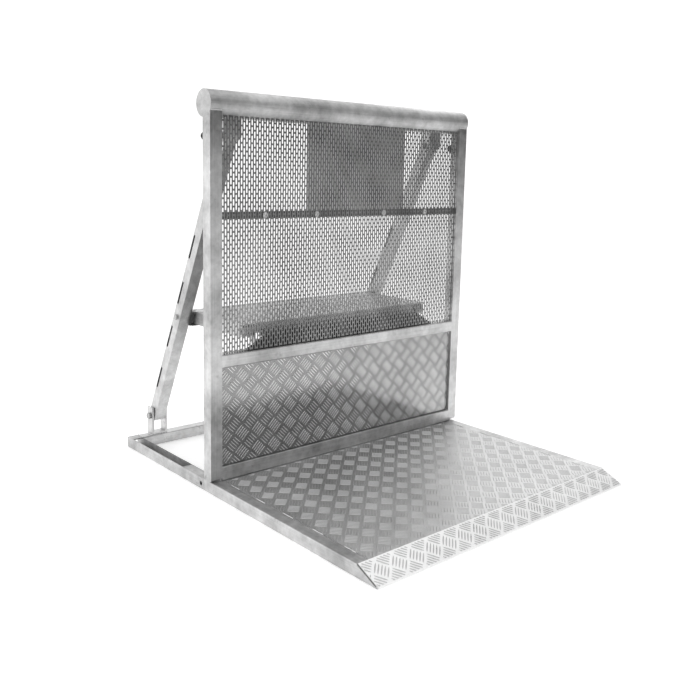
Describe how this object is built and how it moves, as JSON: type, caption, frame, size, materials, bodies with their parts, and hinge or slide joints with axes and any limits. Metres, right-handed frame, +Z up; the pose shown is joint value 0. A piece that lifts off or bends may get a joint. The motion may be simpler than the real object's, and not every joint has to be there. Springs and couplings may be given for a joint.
{
  "type": "crowd control barrier",
  "caption": "Folding crowd barrier: tread plate floor with ramp, hinged perforated panel with round top rail, folding rear struts and a step for staff behind it.",
  "frame": {"origin": "on the ground at mid width, midway between the ramp's tip and the rear end of the base", "axes": "+Z up, -Y towards the crowd over the floor plate, +Y towards the struts and step, X along the barrier's width"},
  "size_m": [1.1, 1.309, 1.2099],
  "materials": {
    "extruded_aluminium": "mill finish, slightly cloudy",
    "tread_aluminium": "bright five-bar tread pattern",
    "ramp_aluminium": "smooth, bright",
    "perforated_aluminium": "satin, upright round-ended slots",
    "sign_aluminium": "plain satin back plate, no lettering",
    "dark_paint": "satin dark coating",
    "zinc_steel": "zinc plated",
    "black_plastic": "matt black",
    "nylon": "matt, self-lubricating",
    "rubber": "moulded black"
  },
  "bodies": {
    "base": {"left_base_rail": "extruded_aluminium", "right_base_rail": "extruded_aluminium", "rear_cross_tube": "extruded_aluminium", "hinge_cross_tube": "extruded_aluminium", "front_floor_tube": "extruded_aluminium", "middle_floor_tube": "extruded_aluminium", "rear_floor_tube": "extruded_aluminium", "floor_plate": "tread_aluminium", "ramp_plate": "ramp_aluminium", "left_strut_clevis": "extruded_aluminium", "right_strut_clevis": "extruded_aluminium", "hinge_lugs": "extruded_aluminium", "hinge_bushes": "nylon"},
    "left_pin": {"left_lock_pin": "zinc_steel"},
    "right_pin": {"right_lock_pin": "zinc_steel"},
    "left_prop": {"left_strut": "extruded_aluminium", "left_strut_channel": "extruded_aluminium", "left_step_rest": "dark_paint", "left_rest_bolt": "zinc_steel", "left_rest_nut": "zinc_steel"},
    "right_prop": {"right_strut": "extruded_aluminium", "right_strut_channel": "extruded_aluminium", "right_step_rest": "dark_paint", "right_rest_bolt": "zinc_steel", "right_rest_nut": "zinc_steel"},
    "step": {"left_step_arm": "extruded_aluminium", "right_step_arm": "extruded_aluminium", "step_front_beam": "extruded_aluminium", "step_middle_beam": "extruded_aluminium", "step_rear_beam": "extruded_aluminium", "step_plate": "tread_aluminium"},
    "panel": {"bottom_rail": "extruded_aluminium", "hinge_rod": "zinc_steel", "left_step_ear": "extruded_aluminium", "left_strut_bracket": "extruded_aluminium", "left_upright": "extruded_aluminium", "lower_tread_panel": "tread_aluminium", "mid_rail": "extruded_aluminium", "perforated_sheet": "perforated_aluminium", "right_step_ear": "extruded_aluminium", "right_strut_bracket": "extruded_aluminium", "right_upright": "extruded_aluminium", "round_top_rail": "extruded_aluminium", "rubber_buffers": "rubber", "sheet_strap": "dark_paint", "sign_plate": "sign_aluminium", "step_pivot_bolts": "zinc_steel", "step_pivot_nuts": "zinc_steel", "strap_bolts": "zinc_steel", "strap_nuts": "zinc_steel", "strut_pivot_bolts": "zinc_steel", "strut_pivot_nuts": "zinc_steel", "toe_strip": "black_plastic", "top_rail_caps": "extruded_aluminium"}
  },
  "joints": [
    {"name": "panel_fold", "type": "hinge", "parent": "base", "child": "panel", "pos_m": [0, 0.102, 0.062], "axis": [1, 0, 0], "range_deg": [0, 90]},
    {"name": "left_strut_fold", "type": "hinge", "parent": "panel", "child": "left_prop", "pos_m": [-0.437, 0.163, 1.085], "axis": [1, 0, 0], "range_deg": [-25.49, 0]},
    {"name": "right_strut_fold", "type": "hinge", "parent": "panel", "child": "right_prop", "pos_m": [0.437, 0.163, 1.085], "axis": [1, 0, 0], "range_deg": [-25.49, 0]},
    {"name": "step_fold", "type": "hinge", "parent": "panel", "child": "step", "pos_m": [0, 0.15, 0.484], "axis": [1, 0, 0], "range_deg": [0, 90]},
    {"name": "left_pin_pull", "type": "slide", "parent": "base", "child": "left_pin", "axis": [-1, 0, 0], "range_m": [0, 0.07]},
    {"name": "right_pin_pull", "type": "slide", "parent": "base", "child": "right_pin", "axis": [1, 0, 0], "range_m": [0, 0.07]}
  ],
  "couplings": [
    {"joint": "left_strut_fold", "follows": "panel_fold", "ratio": -0.28322},
    {"joint": "right_strut_fold", "follows": "panel_fold", "ratio": -0.28322}
  ]
}
